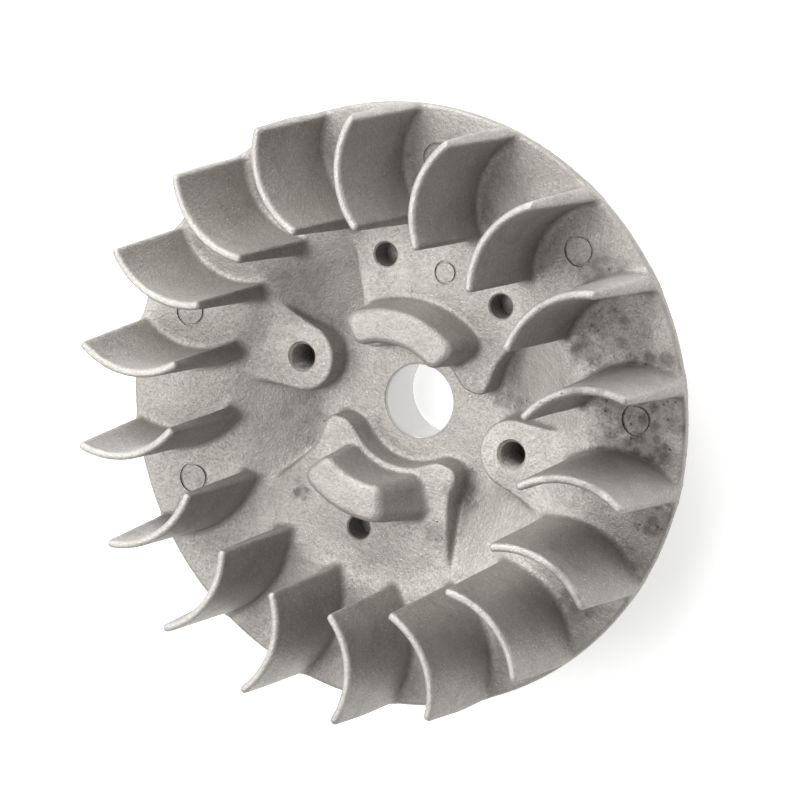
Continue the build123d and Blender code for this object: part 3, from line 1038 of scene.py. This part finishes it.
def pole_steel():
    """Stamped electrical steel, turned flush with the drum: dull patches, rust and dark seams."""
    shader = Shader("pole_steel", Metallic=1.0)
    _, _, z = shader.parts(shader.place)
    sheet = shader.math("DIVIDE", shader.math("SUBTRACT", z, STACK_BOTTOM * MM), SHEET * MM)
    edge = shader.math("ABSOLUTE", shader.math("SUBTRACT", shader.math("FRACT", sheet), 0.5))
    seam = shader.fade(edge, 0.43, 0.49)
    smudge = shader.noise(260, 4.0, 0.6)
    rust = shader.fade(shader.noise(420, 5.0, 0.7), 0.60, 0.72, 0.0, 0.6)
    scratch = shader.noise(1800, 2.0, 0.6)
    colour = shader.mix(shader.fade(smudge, 0.35, 0.7), POLE_BRIGHT, POLE_DULL)
    colour = shader.mix(rust, colour, RUST)
    colour = shader.mix(shader.times(seam, 0.85), colour, SEAM)
    rough = shader.fade(scratch, 0.3, 0.7, 0.30, 0.48)
    height = shader.math("SUBTRACT", shader.times(scratch, 0.3), seam)
    return shader.finish(colour, rough, shader.bump(height, 0.06 * MM, 0.7))


def plain_steel(name, colour, dark, rough):
    """Steel with a dull, slightly spotted skin."""
    shader = Shader(name, Metallic=1.0)
    cloud = shader.noise(330, 4.0, 0.6)
    fine = shader.noise(2100, 2.0, 0.5)
    tone = shader.mix(shader.fade(cloud, 0.35, 0.7), colour, dark)
    spots = tuple(0.6 * part for part in dark)
    tone = shader.mix(shader.fade(fine, 0.58, 0.75, 0.0, 0.4), tone, spots)
    rough = shader.fade(fine, 0.3, 0.7, rough, rough + 0.15)
    return shader.finish(tone, rough, shader.bump(fine, 0.04 * MM, 0.6))


def magnet_grey():
    """Sintered magnet: dark, fine-grained and hardly shiny."""
    shader = Shader("magnet", Metallic=0.35)
    fine = shader.noise(3000, 2.0, 0.6)
    colour = shader.mix(shader.fade(fine, 0.35, 0.7), MAGNET_DARK, MAGNET)
    rough = shader.fade(fine, 0.3, 0.7, 0.5, 0.68)
    return shader.finish(colour, rough, shader.bump(fine, 0.05 * MM, 0.7))


def pale_floor():
    """White paper that glows a little, so that the part's shadow on it stays faint."""
    shader = Shader("pale_floor", Emission_Color=(1.0, 1.0, 1.0, 1.0), Emission_Strength=0.5)
    mottle = shader.noise(9, 2.0, 0.5)
    colour = shader.mix(shader.fade(mottle, 0.3, 0.7), FLOOR_DARK, FLOOR)
    rough = shader.fade(mottle, 0.3, 0.7, 0.85, 0.95)
    return shader.finish(colour, rough, shader.bump(mottle, 0.1 * MM, 0.1))


def paint(piece, material):
    piece.data.materials.clear()
    piece.data.materials.append(material)


# ======== the pieces ========

casting = make_casting()
casting.data.shade_smooth()
casting.data.set_sharp_from_angle(angle=math.radians(SHARP_ANGLE))
paint(casting, cast_aluminium())
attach(casting, "root")
cast_nodes = [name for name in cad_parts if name.startswith(("casting_", "fan_blade_", "pawl_guard_"))]
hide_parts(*cast_nodes)

steel = pole_steel()
for name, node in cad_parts.items():
    if name.startswith("pole_lamination_"):
        paint(node, steel)
paint(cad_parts["permanent_magnet"], magnet_grey())
# Rivet colour kept dark: painted shade at the bottom of the locating holes.
paint(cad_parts["pole_rivets"], plain_steel("rivet_steel", RIVET, RIVET_DARK, 0.42))
paint(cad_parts["counterweight"], plain_steel("counterweight_steel", WEIGHT, WEIGHT_DARK, 0.45))

# ======== floor, camera and light ========

FLOOR_GRID = dict(x_subdivisions=12, y_subdivisions=12, size=4.0)  # size in metres

# Angles in degrees. They, the distance, the lens and the aim are the photo's own, solved from its circles.
CAMERA_AZIMUTH = 39.01
CAMERA_ELEVATION = 63.26
CAMERA_ROLL = 107.07
CAMERA_DISTANCE_M = 0.5406
CAMERA_LENS = 148.31
CAMERA_SENSOR = 36
CAMERA_AIM_M = Vector((-0.000106, 0.001133, 0.0213))
CAMERA_CLIP_M = (0.01, 20)

WORLD_STRENGTH = 0.36


def make_floor():
    bpy.ops.mesh.primitive_grid_add(**FLOOR_GRID)
    floor = bpy.context.object
    floor.name = "floor"
    paint(floor, pale_floor())
    return floor


def camera_axes(azimuth, elevation, roll):
    """Right, up and back vectors of a camera that looks down from an azimuth and elevation."""
    a, e, r = (math.radians(value) for value in (azimuth, elevation, roll))
    back = Vector((math.cos(e) * math.cos(a), math.cos(e) * math.sin(a), math.sin(e)))
    level_up = (Vector((0, 0, 1)) - back * back.z).normalized()
    level_right = level_up.cross(back)
    up = level_up * math.cos(r) + level_right * math.sin(r)
    return up.cross(back), up, back


def make_camera():
    right, up, back = camera_axes(CAMERA_AZIMUTH, CAMERA_ELEVATION, CAMERA_ROLL)
    lens = bpy.data.cameras.new("camera")
    lens.lens = CAMERA_LENS
    lens.sensor_width = CAMERA_SENSOR
    lens.clip_start, lens.clip_end = CAMERA_CLIP_M
    camera = bpy.data.objects.new("camera", lens)
    turn = Matrix((right, up, back)).transposed().to_4x4()
    camera.matrix_world = Matrix.Translation(CAMERA_AIM_M + back * CAMERA_DISTANCE_M) @ turn
    bpy.context.scene.collection.objects.link(camera)
    bpy.context.scene.camera = camera
    return right, up, back


def area_light(name, direction, distance, size, power):
    """A soft square lamp that faces the part and stays out of the picture; metres and watts."""
    lamp = bpy.data.lights.new(name, "AREA")
    lamp.shape = "SQUARE"
    lamp.size = size
    lamp.energy = power
    light = bpy.data.objects.new(name, lamp)
    light.visible_camera = False
    place = direction.normalized() * distance
    turn = direction.to_track_quat("Z", "Y").to_matrix().to_4x4()
    light.matrix_world = Matrix.Translation(place) @ turn
    bpy.context.scene.collection.objects.link(light)


def make_world():
    """Even white light from all sides."""
    world = bpy.data.worlds.new("studio")
    world.use_nodes = True
    background = world.node_tree.nodes["Background"]
    background.inputs["Color"].default_value = (1.0, 1.0, 1.0, 1.0)
    background.inputs["Strength"].default_value = WORLD_STRENGTH
    bpy.context.scene.world = world


floor = make_floor()
right, up, back = make_camera()
area_light("overhead", Vector((-0.40, -0.12, 0.88)), distance=0.34, size=0.34, power=1.0)
area_light("key", up * 0.90 - right * 0.45 + back * 0.80, distance=0.9, size=0.75, power=8.6)
make_world()
bpy.context.scene.view_settings.view_transform = "Standard"
